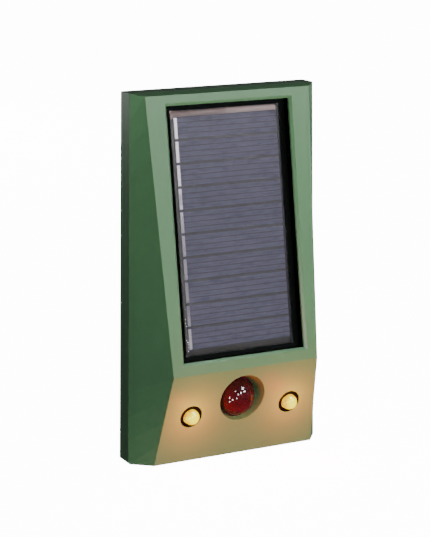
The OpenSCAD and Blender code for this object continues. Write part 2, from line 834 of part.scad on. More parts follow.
module coil_winding() {
    layer = (coil_l - 2 * flange_t) / wire_layers;
    color(copper) hung() for (i = [0 : wire_layers - 1])
        ring(coil[0], coil[1], board_front + flange_t + i * layer, board_front + flange_t + (i + 1) * layer,
            coil_flange_r - 0.4 - 0.15 * (i % 2), coil_r);
}

module transistor() {
    color("#202326") hung() difference() {
        rod(transistor_at[0], transistor_at[1], board_front, board_front + 4.6, 2.3);
        slab(transistor_at[0] - 4, transistor_at[0] + 4, board_front - 1, board_front + 6,
            transistor_at[1] + 1.4, transistor_at[1] + 4);
    }
}

module resistors() {
    color("#2b2b2b") hung() for (i = [0 : resistor_count - 1])
        translate([resistor_at[0] + i * resistor_pitch, 0, resistor_at[1]])
            slab(0, 1.6, board_front, board_front + 0.6, 0, 3.2);
}

// Plug housings of the leads
module connectors() {
    color("#ece7d8") hung() {
        for (c = rear_connectors) slab(c[0] - connector_w / 2, c[0] + connector_w / 2,
            board_d - connector_deep, board_d, c[1] - connector_l / 2, c[1] + connector_l / 2);
        for (c = front_connectors) slab(c[0] - connector_w / 2, c[0] + connector_w / 2,
            board_front, board_front + connector_deep, c[1] - connector_l / 2, c[1] + connector_l / 2);
    }
}

// Solder cones on the back of the board
module solder_joints() {
    joints = [for (x = [-light_x, light_x], s = [-1, 1]) [x + s * light_pin, light_h],
        for (a = pin_turns) [pin_circle * cos(a), lens_h + pin_circle * sin(a)],
        for (s = [-1, 1]) big_capacitor + [s * 1.25, 0], for (s = [-1, 1]) coil + [s * 2, 0],
        for (s = [-1, 0, 1]) transistor_at + [s * 1.3, 0],
        for (c = front_connectors, s = [-1, 1]) c + [s, 0]];
    color("#c9ccd0") hung() for (p = joints) rod(p[0], p[1], board_d - 0.9, board_d, 0.3, 0.85);
}

// ---- Sound ------------------------------------------------------------------------------------

module sound_grille() {
    color(soot) hung() difference() {
        union() {
            post(0, port_d, grille_face, pad_h, port_r - 0.1);
            post(0, port_d, pad_h, pad_h + grille_flange_t, port_r + 1.2);
        }
        post(0, port_d, grille_face + grille_t, pad_h + 1, port_r - 1);
        for (circle = grille_rings, i = [0 : circle[0] - 1]) let (a = 360 * i / circle[0])
            post(circle[1] * cos(a), port_d + circle[1] * sin(a), 0, pad_h, grille_hole_r);
    }
}

module insect_mesh() {
    low = pad_h + grille_flange_t;
    color("#9a9ea3") hung() post(0, port_d, low, low + mesh_t, port_r + 1);
}

module transducer_seal() {
    color("#3c3f42") hung() difference() {
        post(0, port_d, can_low - transducer_seal_t, can_low, transducer_r - 0.2);
        post(0, port_d, 0, can_low + 1, port_r);
    }
}

module transducer_can() {
    color("#c3c7cc") hung() difference() {
        post(0, port_d, can_low, can_high, transducer_r);
        post(0, port_d, can_low + 0.5, can_high + 1, transducer_r - 0.4);
        post(0, port_d, 0, can_high, port_r - 0.6);
    }
}

// Light cone that radiates the sound, on its stem
module transducer_cone() {
    color("#d9dde2") hung() {
        difference() {
            post(0, port_d, cone_low, cone_low + cone_l, 5, 1.4);
            post(0, port_d, cone_low - 0.4, cone_low + cone_l - 0.4, 5, 1);
        }
        post(0, port_d, cone_low + cone_l - 0.2, disc_low, 1);
    }
}

module transducer_disc() {
    color("#caa24a") hung() post(0, port_d, disc_low, disc_low + disc_t, disc_r);
}

module transducer_base() {
    color("#5b4632") hung() {
        post(0, port_d, can_high - base_t, can_high, transducer_r - 0.45);
        post(0, port_d, disc_low + disc_t, can_high - base_t, 2.4);
        both_sides() post(transducer_pin_x, port_d, can_high, transducer_pin_top, 0.4);
    }
}

module transducer_lead_red() {
    color("#b3261e") hung() lead(transducer_red_route, [0.05, 1, 0.3]);
}

module transducer_lead_black() {
    color(soot) hung() lead(transducer_black_route, [0.05, 1, 0.3]);
}

// ---- Batteries --------------------------------------------------------------------------------

// Cell whose positive nub points to the side given
module cell(h, side) {
    tip = side * (well_half - plate_t);
    tail = tip - side * cell_l;
    body_end = tip - side * nub_l;
    translate([min(tail, body_end), -cell_mid_d, h]) rotate([0, 90, 0])
        cylinder(h = cell_l - nub_l, r = cell_r);
    translate([min(tip, body_end), -cell_mid_d, h]) rotate([0, 90, 0]) cylinder(h = nub_l, r = nub_r);
}

module battery_lower() {
    color("#3f7f4f") hung() cell(cell_h - cell_pitch, 1);
}

module battery_middle() {
    color("#3f7f4f") hung() cell(cell_h, -1);
}

module battery_upper() {
    color("#3f7f4f") hung() cell(cell_h + cell_pitch, 1);
}

// Conical contact spring from a plate to the flat end of a cell
module contact_spring(h, side) {
    wire_r = 0.3;
    turns = 2.5;
    steps = 30;
    start = well_half - plate_t - wire_r;
    length = 2 * well_half - 2 * plate_t - cell_l - 2 * wire_r;
    path = [for (i = [0 : steps]) let (t = i / steps, r = blend(3.6, 2, t), a = 360 * turns * t)
        [side * (start - length * t), -cell_mid_d + r * cos(a), h + r * sin(a)]];
    tube(path, wire_r, [1, 0, 0]);
}

module battery_springs() {
    color(steel) hung() {
        contact_spring(cell_h - cell_pitch, -1);
        contact_spring(cell_h, 1);
        contact_spring(cell_h + cell_pitch, -1);
    }
}

// Contact plate against the end wall, over the heights given
module contact_plate(side, h0, h1) {
    x = side * (well_half - plate_t / 2);
    slab(x - plate_t / 2, x + plate_t / 2, cell_mid_d - plate_half, cell_mid_d + plate_half, h0, h1);
}

module battery_plates() {
    reach = plate_half + 0.2;
    color("#c9cdd2") hung() {
        contact_plate(1, cell_h - cell_pitch - reach, cell_h - cell_pitch + reach);
        contact_plate(1, cell_h - reach, cell_h + cell_pitch + reach);
        contact_plate(-1, cell_h - cell_pitch - reach, cell_h + reach);
        contact_plate(-1, cell_h + cell_pitch - reach, cell_h + cell_pitch + reach);
    }
}

module battery_lead_red() {
    color("#b3261e") hung() lead(battery_red_route, [0.02, 1, 0.05], 4);
}

module battery_lead_black() {
    color(soot) hung() lead(battery_black_route, [0.3, 1, 0.05], 4);
}

module battery_door() {
    half = door_half - door_gap;
    color(cover_green) hung() difference() {
        slab(-half, half, door_face, door_face + door_t, door_low + door_gap, door_high - door_gap);
        both_sides() {
            rod(door_screw_x, cell_h, -1, door_face + door_t + 1, door_screw_r + 0.1);
            rod(door_screw_x, cell_h, door_face - 0.1, door_face + 1.5, door_head_r + 0.3,
                door_screw_r + 0.1);
        }
        for (i = [-2 : 2]) slab(-14, 14, -1, door_face + 0.5, door_high - 7 + i * 1.6,
            door_high - 6.2 + i * 1.6);
    }
}

module door_gasket() {
    color("#2a2c2e") hung() difference() {
        slab(-25.7, 25.7, door_face + door_t, door_ledge - 0.02, well_low - 1.4, well_high + 1.4);
        slab(-well_half, well_half, 0, 5, well_low, well_high);
    }
}

module door_screws() {
    color(steel) hung() both_sides() difference() {
        union() {
            rod(door_screw_x, cell_h, door_face + 0.15, door_face + 1.45, door_head_r, door_screw_r);
            rod(door_screw_x, cell_h, door_face + 1.4, door_screw_d, door_screw_r);
        }
        translate([door_screw_x, -door_face - 0.15, cell_h]) rotate([-90, 0, 0]) cross_slot(1.4, 0.9);
    }
}

// ---- Power switch -----------------------------------------------------------------------------

module at_switch() translate([switch_x, 0, switch_h]) children();

module switch_frame() {
    plate_h = frame_w / 2;
    color(steel) hung() at_switch() difference() {
        union() {
            slab(-10, 10, switch_pad_d, switch_pad_d + frame_t, -plate_h, plate_h);
            slab(-frame_l / 2, frame_l / 2, switch_pad_d, switch_pad_d + frame_deep, -plate_h, plate_h);
        }
        slab(frame_side_t - frame_l / 2, frame_l / 2 - frame_side_t, switch_pad_d + frame_t, 12,
            frame_side_t - plate_h, plate_h - frame_side_t);
        slab(-knob_slot / 2, knob_slot / 2, 0, 6, -knob_h / 2 - slot_gap, knob_h / 2 + slot_gap);
        for (s = [-1, 1]) rod(s * switch_screw_x, 0, 0, 8, switch_screw_r + 0.15);
    }
}

module switch_base() {
    color("#6b4a2f") hung() at_switch() {
        slab(frame_side_t - frame_l / 2, frame_l / 2 - frame_side_t, switch_base_d, switch_pad_d + frame_deep,
            frame_side_t - frame_w / 2, frame_w / 2 - frame_side_t);
        for (x = lug_at) slab(x - lug_half[0], x + lug_half[0], switch_pad_d + frame_deep, lug_tip_d,
            -lug_half[1], lug_half[1]);
    }
}

// Knob at the end of its travel where the power is on
module switch_knob() {
    on = switch_travel / 2;
    color(soot) hung() at_switch() {
        difference() {
            slab(on - knob_w / 2, on + knob_w / 2, knob_face_d, knob_collar_d, -knob_h / 2, knob_h / 2);
            for (i = [-1 : 1]) translate([on + i * groove_pitch, 0, 0])
                slab(-groove_w / 2, groove_w / 2, 0, knob_face_d + 0.4, -knob_h, knob_h);
        }
        slab(on - knob_collar_half[0], on + knob_collar_half[0], knob_collar_d, knob_collar_d + knob_collar_t,
            -knob_collar_half[1], knob_collar_half[1]);
    }
}

module switch_screws() {
    color(steel) hung() at_switch() for (s = [-1, 1])
        translate([s * switch_screw_x, -switch_pad_d - frame_t, 0]) rotate([90, 0, 0]) {
            difference() {
                cylinder(h = switch_head_t, r = switch_head_r);
                translate([0, 0, switch_head_t]) cross_slot(1, 0.6);
            }
            translate([0, 0, -3]) cylinder(h = 3, r = switch_screw_r);
        }
}

module switch_leads() {
    color("#b3261e") hung() {
        lead(switch_near_route);
        lead(switch_far_route);
    }
}

front_housing();
rear_cover();
housing_gasket();
cover_screws();
solar_tray();
tray_seal();
tray_screws();
solar_tape();
solar_backing();
solar_cells();
solar_ribbons();
solar_coating();
solar_lead_red();
solar_lead_black();
pir_lens();
pir_shroud();
pir_sensor();
pir_window();
pir_legs();
light_left();
light_right();
light_holder_left();
light_holder_right();
light_legs();
circuit_board();
board_screws();
chips();
chip_legs();
crystal();
capacitors();
coil_core();
coil_winding();
transistor();
resistors();
connectors();
solder_joints();
sound_grille();
insect_mesh();
transducer_seal();
transducer_can();
transducer_cone();
transducer_disc();
transducer_base();
transducer_lead_red();
transducer_lead_black();
battery_lower();
battery_middle();
battery_upper();
battery_springs();
battery_plates();
battery_lead_red();
battery_lead_black();
battery_door();
door_gasket();
door_screws();
switch_frame();
switch_base();
switch_knob();
switch_screws();
switch_leads();
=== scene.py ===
"""Looks of the solar ultrasonic pest repeller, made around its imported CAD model. Metres, Z up."""

import json
import math

import bmesh
import bpy
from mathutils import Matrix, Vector


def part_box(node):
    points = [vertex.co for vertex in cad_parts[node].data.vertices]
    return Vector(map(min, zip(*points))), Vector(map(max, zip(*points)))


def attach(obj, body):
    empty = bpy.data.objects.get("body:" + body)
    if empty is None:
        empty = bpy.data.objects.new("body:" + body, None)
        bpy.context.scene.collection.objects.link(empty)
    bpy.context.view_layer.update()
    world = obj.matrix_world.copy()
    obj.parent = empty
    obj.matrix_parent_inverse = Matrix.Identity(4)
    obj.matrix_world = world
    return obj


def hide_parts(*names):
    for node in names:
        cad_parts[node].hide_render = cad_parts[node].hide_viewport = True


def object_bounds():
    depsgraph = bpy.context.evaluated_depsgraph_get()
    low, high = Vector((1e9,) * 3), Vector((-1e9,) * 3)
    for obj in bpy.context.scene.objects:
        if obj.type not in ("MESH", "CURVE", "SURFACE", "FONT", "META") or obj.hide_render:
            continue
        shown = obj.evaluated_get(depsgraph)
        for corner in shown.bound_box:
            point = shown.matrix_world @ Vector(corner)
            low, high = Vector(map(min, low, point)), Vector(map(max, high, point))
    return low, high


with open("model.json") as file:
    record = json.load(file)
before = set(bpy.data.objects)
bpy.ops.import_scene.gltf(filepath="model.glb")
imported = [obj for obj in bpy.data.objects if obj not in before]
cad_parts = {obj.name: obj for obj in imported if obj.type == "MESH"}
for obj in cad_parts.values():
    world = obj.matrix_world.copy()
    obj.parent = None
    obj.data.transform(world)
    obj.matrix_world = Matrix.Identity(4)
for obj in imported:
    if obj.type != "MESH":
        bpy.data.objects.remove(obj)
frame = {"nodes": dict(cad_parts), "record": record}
CAD_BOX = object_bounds()
MM = 0.001
NODES = frame["nodes"]


# ---- Places taken from the frame ---------------------------------------------------------------

def middle(node):
    """Middle of a node's box."""
    low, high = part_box(node)
    return (low + high) / 2


LENS_LOW, LENS_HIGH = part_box("pir_lens")
LENS_MIDDLE = middle("pir_lens")
LIGHT_MIDDLE = middle("light_right")
CELLS_LOW, CELLS_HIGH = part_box("solar_cells")
RIBBONS_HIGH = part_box("solar_ribbons")[1]
CELL_THICK = 0.25 * MM
PANEL_TILT = math.atan2(CELLS_HIGH.y - CELLS_LOW.y - CELL_THICK, CELLS_HIGH.z - CELLS_LOW.z)
UP_PANEL = Vector((0, math.sin(PANEL_TILT), math.cos(PANEL_TILT)))
OUT_OF_PANEL = Vector((0, -math.cos(PANEL_TILT), math.sin(PANEL_TILT)))


# ---- Node helpers ------------------------------------------------------------------------------

def start_material(name):
    """A new material, its node tree and its Principled shader."""
    material = bpy.data.materials.new(name)
    material.use_nodes = True
    return material, material.node_tree, material.node_tree.nodes["Principled BSDF"]


def add(tree, kind, inputs=None, **settings):
    """A shader node with its settings and plain input values."""
    node = tree.nodes.new("ShaderNode" + kind)
    for key, value in settings.items():
        setattr(node, key, value)
    for key, value in (inputs or {}).items():
        node.inputs[key].default_value = value
    return node


def join(tree, source, output, target, entry):
    """Link from one node's output to another's input."""
    tree.links.new(source.outputs[output], target.inputs[entry])


def object_space(tree, stretch=(1, 1, 1)):
    """Texture coordinates in metres that ride with the piece, scaled along each axis."""
    place = add(tree, "TexCoord")
    mapping = add(tree, "Mapping", {"Scale": stretch})
    join(tree, place, "Object", mapping, "Vector")
    return mapping


def noise(tree, place, scale, detail=3.0, rough=0.55):
    """Noise texture over the given coordinates."""
    node = add(tree, "TexNoise", {"Scale": scale, "Detail": detail, "Roughness": rough})
    join(tree, place, "Vector", node, "Vector")
    return node


def ramp(tree, source, output, stops):
    """Colour ramp with (place, colour) stops, fed by one output."""
    node = add(tree, "ValToRGB")
    elements = node.color_ramp.elements
    while len(elements) < len(stops):
        elements.new(0.5)
    for element, (place, colour) in zip(elements, stops):
        element.position = place
        element.color = (*colour, 1)
    join(tree, source, output, node, "Fac")
    return node


def shades(colour, spread):
    """A darker and a lighter shade of a colour."""
    return [tuple(min(1, c * k) for c in colour) for k in (1 - spread, 1 + spread)]


def map_range(tree, source, output, low, high, start=0.3, end=0.7):
    """An output stretched from start..end to low..high."""
    node = add(tree, "MapRange", {"From Min": start, "From Max": end,
                                  "To Min": low, "To Max": high})
    join(tree, source, output, node, "Value")
    return node


def bump(tree, shader, source, output, depth, strength=1.0):
    """Relief of a shader, from an output taken as height."""
    node = add(tree, "Bump", {"Strength": strength, "Distance": depth})
    join(tree, source, output, node, "Height")
    join(tree, node, "Normal", shader, "Normal")


def surface(name, colour, rough=(0.35, 0.5), spread=0.06, patch=60, grain=1500, depth=0.00003,
            stretch=(1, 1, 1), metallic=0.0, coat=0.0, specular=0.5):
    """Moulded, drawn or cast surface: patchy shade, uneven roughness and a fine grain."""
    material, tree, shader = start_material(name)
    place = object_space(tree, stretch)
    patches = noise(tree, place, patch)
    tone = ramp(tree, patches, "Fac", list(zip((0.35, 0.65), shades(colour, spread))))
    join(tree, tone, "Color", shader, "Base Color")
    fine = noise(tree, place, grain, 2.0)
    roughness = map_range(tree, fine, "Fac", *rough)
    join(tree, roughness, "Result", shader, "Roughness")
    bump(tree, shader, fine, "Fac", depth)
    shader.inputs["Metallic"].default_value = metallic
    shader.inputs["Coat Weight"].default_value = coat
    shader.inputs["Specular IOR Level"].default_value = specular
    return material


# ---- Materials ---------------------------------------------------------------------------------

# Half the width of the backing's colour changes, at the cells' upper edge and right edge
# The change at the upper edge goes into a margin lightened as a painted sheen of the resin's top
# edge
UPPER_SHEEN_BLEND = 1 * MM
SIDE_BLEND = 0.2 * MM
# Lit lens: how far its cloudiness shifts the rings of colour, and where the ramp starts and ends
LIGHT_SWIRL = 0.0026
LIGHT_START, LIGHT_END = 0.0008, 0.0052
# Texture scales of the wire mesh and of the board's tracks
WEAVE_SCALE = 330.0
TRACK_SCALE = 260.0


def cell_material():
    """Silicon: greyish violet shades, drawn out along each strip."""
    material, tree, shader = start_material("cells")
    place = object_space(tree, (1, 1, 6))
    grain = noise(tree, place, 160, 4.0, 0.6)
    tone = ramp(tree, grain, "Fac", [(0.3, (0.115, 0.115, 0.146)), (0.7, (0.15, 0.15, 0.187))])
    join(tree, tone, "Color", shader, "Base Color")
    roughness = map_range(tree, grain, "Fac", 0.22, 0.38)
    join(tree, roughness, "Result", shader, "Roughness")
    bump(tree, shader, grain, "Fac", 0.00001)
    shader.inputs["Specular IOR Level"].default_value = 0.12
    return material


def backing_material():
    """Board under the cells: olive, pinkish in its upper margin and lightened there as a painted
    sheen of the resin's top edge, nearly black on the right.
    """
    material, tree, shader = start_material("backing")
    place = object_space(tree)
    split = add(tree, "SeparateXYZ")
    join(tree, place, "Vector", split, "Vector")
    # Upper margin: pinkish tone, lightened as a painted sheen of the resin's top edge
    sheen_rise = map_range(tree, split, "Z", 0.0, 1.0,
                     CELLS_HIGH.z - UPPER_SHEEN_BLEND, CELLS_HIGH.z + UPPER_SHEEN_BLEND)
    tone = ramp(tree, sheen_rise, "Result", [(0.0, (0.05, 0.052, 0.038)), (1.0, (0.36, 0.26, 0.22))])
    reach = map_range(tree, split, "X", 0.0, 1.0,
                      CELLS_HIGH.x - SIDE_BLEND, CELLS_HIGH.x + SIDE_BLEND)
    mix = add(tree, "Mix", {"B": (0.006, 0.007, 0.008, 1)}, data_type="RGBA")
    join(tree, reach, "Result", mix, "Factor")
    join(tree, tone, "Color", mix, "A")
    join(tree, mix, "Result", shader, "Base Color")
    fine = noise(tree, place, 2600, 2.0)
    join(tree, map_range(tree, fine, "Fac", 0.4, 0.55), "Result", shader, "Roughness")
    bump(tree, shader, fine, "Fac", 0.00002)
    return material


def coating_material():
    """Clear cast resin: gloss over what lies beneath, with faint ripples."""
    material, tree, shader = start_material("coating")
    place = object_space(tree)
    ripple = noise(tree, place, 90, 2.0)
    gloss = add(tree, "BsdfGlossy", {"Color": (0.96, 0.95, 1, 1)})
    roughness = map_range(tree, ripple, "Fac", 0.1, 0.13)
    join(tree, roughness, "Result", gloss, "Roughness")
    relief = add(tree, "Bump", {"Strength": 0.1, "Distance": 0.00002})
    join(tree, ripple, "Fac", relief, "Height")
    join(tree, relief, "Normal", gloss, "Normal")
    clear = add(tree, "BsdfTransparent", {"Color": (0.93, 0.92, 0.95, 1)})
    share = add(tree, "Fresnel", {"IOR": 1.5})
    mix = add(tree, "MixShader")
    join(tree, share, "Fac", mix, "Fac")
    join(tree, clear, "BSDF", mix, 1)
    join(tree, gloss, "BSDF", mix, 2)
    output = tree.nodes["Material Output"]
    join(tree, mix, "Shader", output, "Surface")
    tree.nodes.remove(shader)
    return material


def lens_material():
    """Dark red filter plastic, glossy, a little lighter where it is thin."""
    material, tree, shader = start_material("lens_red")
    place = object_space(tree)
    haze = noise(tree, place, 260, 3.0)
    tone = ramp(tree, haze, "Fac", [(0.3, (0.026, 0.003, 0.006)), (0.7, (0.052, 0.006, 0.012))])
    join(tree, tone, "Color", shader, "Base Color")
    roughness = map_range(tree, haze, "Fac", 0.07, 0.14)
    join(tree, roughness, "Result", shader, "Roughness")
    bump(tree, shader, haze, "Fac", 0.00002, 0.5)
    shader.inputs["Subsurface Weight"].default_value = 0.15
    shader.inputs["Subsurface Radius"].default_value = (0.003, 0.0004, 0.0003)
    shader.inputs["Subsurface Scale"].default_value = 1.0
    shader.inputs["Specular IOR Level"].default_value = 0.6
    return material


def light_material():
    """Lit yellow resin: hottest in the middle of the lens, deeper yellow towards its rim."""
    material, tree, shader = start_material("light_yellow")
    place = object_space(tree)
    split = add(tree, "SeparateXYZ")
    join(tree, place, "Vector", split, "Vector")
    side = add(tree, "Math", operation="ABSOLUTE")
    join(tree, split, "X", side, 0)
    across = add(tree, "Math", {1: LIGHT_MIDDLE.x}, operation="SUBTRACT")
    join(tree, side, 0, across, 0)
    up = add(tree, "Math", {1: LIGHT_MIDDLE.z}, operation="SUBTRACT")
    join(tree, split, "Z", up, 0)
    flat = add(tree, "CombineXYZ")
    join(tree, across, 0, flat, "X")
    join(tree, up, 0, flat, "Y")
    reach = add(tree, "VectorMath", operation="LENGTH")
    join(tree, flat, "Vector", reach, 0)
    cloud = noise(tree, place, 500, 3.0)
    swirl = add(tree, "Math", {1: LIGHT_SWIRL}, operation="MULTIPLY_ADD")
    join(tree, cloud, "Fac", swirl, 0)
    join(tree, reach, "Value", swirl, 2)
    spot = map_range(tree, swirl, 0, 0.0, 1.0, LIGHT_START, LIGHT_END)
    glow = ramp(tree, spot, "Result", [(0.0, (1.0, 1.0, 0.0)), (0.6, (1.0, 0.97, 0.0)),
                                       (0.8, (1.0, 0.66, 0.0)), (1.0, (0.6, 0.22, 0.0))])
    join(tree, glow, "Color", shader, "Emission Color")
    shader.inputs["Base Color"].default_value = (0.03, 0.025, 0.001, 1)
    shader.inputs["Emission Strength"].default_value = 2.0
    shader.inputs["Roughness"].default_value = 0.12
    return material


def brushed(name, colour, rough=(0.22, 0.4), stretch=(1, 1, 12)):
    """Metal with fine lines drawn out across the stretched axis."""
    return surface(name, colour, rough, 0.05, 300, 2500, 0.00001, stretch, metallic=1.0)


def mesh_material():
    """Woven wire: two crossed sets of wires with dark gaps."""
    material, tree, shader = start_material("mesh_steel")
    place = object_space(tree)
    weave = []
    for axis in ("X", "Y"):
        wires = add(tree, "TexWave", {"Scale": WEAVE_SCALE, "Distortion": 0.0},
                    bands_direction=axis)
        join(tree, place, "Vector", wires, "Vector")
        weave.append(wires)
    top = add(tree, "Math", operation="MAXIMUM")
    join(tree, weave[0], "Fac", top, 0)
    join(tree, weave[1], "Fac", top, 1)
    tone = ramp(tree, top, 0, [(0.35, (0.02, 0.02, 0.02)), (0.7, (0.5, 0.51, 0.53))])
    join(tree, tone, "Color", shader, "Base Color")
    bump(tree, shader, top, 0, 0.0001)
    shader.inputs["Metallic"].default_value = 0.9
    shader.inputs["Roughness"].default_value = 0.35
    return material


def board_material():
    """Solder mask with the copper tracks showing faintly through it."""
    material, tree, shader = start_material("board_green")
    place = object_space(tree)
    tracks = add(tree, "TexBrick", {"Scale": TRACK_SCALE, "Mortar Size": 0.018,
                                    "Color1": (0.02, 0.16, 0.06, 1),
                                    "Color2": (0.025, 0.2, 0.075, 1),
                                    "Mortar": (0.05, 0.3, 0.11, 1)})
    turn = add(tree, "Mapping", {"Rotation": (math.pi / 2, 0, 0)})
    join(tree, place, "Vector", turn, "Vector")
    join(tree, turn, "Vector", tracks, "Vector")
    join(tree, tracks, "Color", shader, "Base Color")
    roughness = map_range(tree, noise(tree, place, 900), "Fac", 0.2, 0.35)
    join(tree, roughness, "Result", shader, "Roughness")
    bump(tree, shader, tracks, "Fac", 0.00003)
    return material


def sleeve_material():
    """Shrink sleeve of a battery: plain green film under a thin gloss."""
    material, tree, shader = start_material("cell_sleeve")
    place = object_space(tree)
    shine = noise(tree, place, 120)
    tone = ramp(tree, shine, "Fac", [(0.3, (0.03, 0.16, 0.06)), (0.7, (0.045, 0.22, 0.085))])
    join(tree, tone, "Color", shader, "Base Color")
    roughness = map_range(tree, shine, "Fac", 0.18, 0.3)
    join(tree, roughness, "Result", shader, "Roughness")
    bump(tree, shader, shine, "Fac", 0.00002)
    shader.inputs["Coat Weight"].default_value = 0.4
    return material


HOUSING_GREEN = (0.115, 0.27, 0.125)
COVER_GREEN = (0.095, 0.215, 0.1)

MATERIALS = {
    "housing": surface("housing", HOUSING_GREEN, (0.28, 0.35), 0.03, 25, 2600, 0.000016,
                       specular=0.26),
    "cover": surface("cover", COVER_GREEN, (0.42, 0.58), 0.03, 25, 2600, 0.00002, specular=0.3),
    "rubber_dark": surface("rubber_dark", (0.02, 0.02, 0.022), (0.6, 0.75)),
    "foam": surface("foam", (0.035, 0.035, 0.038), (0.8, 0.95), 0.2, 900, 3200, 0.0001),
    "steel": brushed("steel", (0.55, 0.56, 0.58)),
    "tray_black": surface("tray_black", (0.004, 0.006, 0.005), (0.5, 0.65), 0.1, 80, 2400, 0.00002,
                          specular=0.02),
    "tape_white": surface("tape_white", (0.75, 0.74, 0.7), (0.7, 0.85), 0.04, 200, 2200, 0.00006),
    "backing": backing_material(),
    "cells": cell_material(),
    "ribbons": brushed("ribbons", (0.85, 0.8, 0.8), (0.25, 0.4), (1, 1, 3)),
    "coating": coating_material(),
    "lead_red": surface("lead_red", (0.4, 0.02, 0.015), (0.4, 0.55)),
    "lead_black": surface("lead_black", (0.012, 0.012, 0.013), (0.4, 0.55)),
    "lens_red": lens_material(),
    "black_plastic": surface("black_plastic", (0.008, 0.008, 0.009), (0.42, 0.58), 0.1, 80, 2400,
                             0.00002),
    "sensor_window": surface("sensor_window", (0.03, 0.015, 0.035), (0.05, 0.12), coat=0.5),
    "light_yellow": light_material(),
    "board_green": board_material(),
    "chip_black": surface("chip_black", (0.012, 0.012, 0.014), (0.55, 0.7), 0.1, 400, 3000,
                          0.00003),
    "tin": brushed("tin", (0.7, 0.7, 0.69)),
    "capacitor_sleeve": surface("capacitor_sleeve", (0.012, 0.02, 0.05), (0.2, 0.32), coat=0.3),
    "ferrite": surface("ferrite", (0.03, 0.03, 0.031), (0.6, 0.78), 0.15, 500, 2600, 0.00004),
    "copper_wire": brushed("copper_wire", (0.72, 0.32, 0.12), (0.2, 0.34), (1, 14, 1)),
    "nylon": surface("nylon", (0.72, 0.68, 0.55), (0.35, 0.5)),
    "aluminium": brushed("aluminium", (0.72, 0.73, 0.75)),
    "brass_disc": brushed("brass_disc", (0.68, 0.48, 0.18)),
    "phenolic": surface("phenolic", (0.11, 0.05, 0.022), (0.4, 0.55), 0.15, 250, 2000),
    "mesh_steel": mesh_material(),
    "cell_sleeve": sleeve_material(),
    "nickel": brushed("nickel", (0.68, 0.67, 0.64)),
}


def dress_nodes():
    """Gives every CAD node its slot's material, and the lights' holders an extra-dark black as
    painted shade in their holes.
    """
    for row in frame["record"]["subparts"]:
        node = NODES[row["node"]]
        node.data.materials.clear()
        node.data.materials.append(MATERIALS[row["material_slot"]])
    # Holders darker than the black plastic: painted shade, so their holes stay black under the
    # lenses' glow
    soot = surface("soot", (0.0015, 0.0015, 0.0015), (0.6, 0.75), 0.1, 80, 2400, 0.00002,
                   specular=0.1)
    for node in ("light_holder_left", "light_holder_right"):
        NODES[node].data.materials[0] = soot


# ---- Pieces ------------------------------------------------------------------------------------

DOME_RADIUS = 9.2 * MM
DOME_WALL = 0.8 * MM
FLANGE_THICK = 0.8 * MM
# Rings of lenses from the tip out: the tilt of the ring's outer edge, and how many lenses it has
LENS_RINGS = [(math.radians(14), 1), (math.radians(36), 7), (math.radians(54), 10),
              (math.radians(69), 13)]
LENS_GROOVE = 0.16 * MM
# Plain rings below the lenses: their pitch as a tilt, and their depth in lens grooves
BASE_RING = math.radians(6.75)
BASE_GROOVE = 1.6
# Mesh of the dome: points round it, and rings up its skin and its hollow
TURNS = 120
SKIN_STEPS = 60
HOLLOW_STEPS = 12
# How far above the flange the skin's last ring lies
FLANGE_LIFT = 0.0001
# Solar panel: its strips and their bands, the lines between bands, and how far they stop short
STRIPS = 10
STRIP_GAP = 0.5 * MM
BANDS = 4
LINE_WIDE = 0.4 * MM
LINE_THICK = 0.04 * MM
LINE_SHORT = 0.1 * MM


def put(name, data):
    """Object for a mesh, light or camera, in the scene."""
    made = bpy.data.objects.new(name, data)
    bpy.context.scene.collection.objects.link(made)
    return made


def finish_piece(name, mesh, slot, body, *replaced, material=None):
    """Object for a mesh, with its slot, its body and the CAD nodes it stands for."""
    piece = put(name, mesh)
    mesh.materials.append(material or MATERIALS[slot])
    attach(piece, body)
    if replaced:
        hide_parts(*replaced)


def mesh_from(name, bm, smooth=True):
    """Mesh data from a closed bmesh, with its normals facing out."""
    mesh = bpy.data.meshes.new(name)
    bmesh.ops.recalc_face_normals(bm, faces=bm.faces)
    bm.to_mesh(mesh)
    bm.free()
    for face in mesh.polygons:
        face.use_smooth = smooth
    return mesh


def lens_cell(tilt, turn):
    """How far the dome's skin lies below its outer radius, in depths of LENS_GROOVE."""
    inner = LENS_RINGS[0][0]
    if tilt <= inner:
        return (tilt / inner) ** 2
    for outer, count in LENS_RINGS[1:]:
        if tilt <= outer:
            along = 2 * (tilt - inner) / (outer - inner) - 1
            across = 2 * ((turn / (2 * math.pi) * count + 0.5 * (count % 4 == 0)) % 1) - 1
            return 1 - (1 - along ** 2) * (1 - across ** 2)
        inner = outer
    return 1 + BASE_GROOVE * math.sin(math.pi * (tilt - inner) / BASE_RING) ** 2


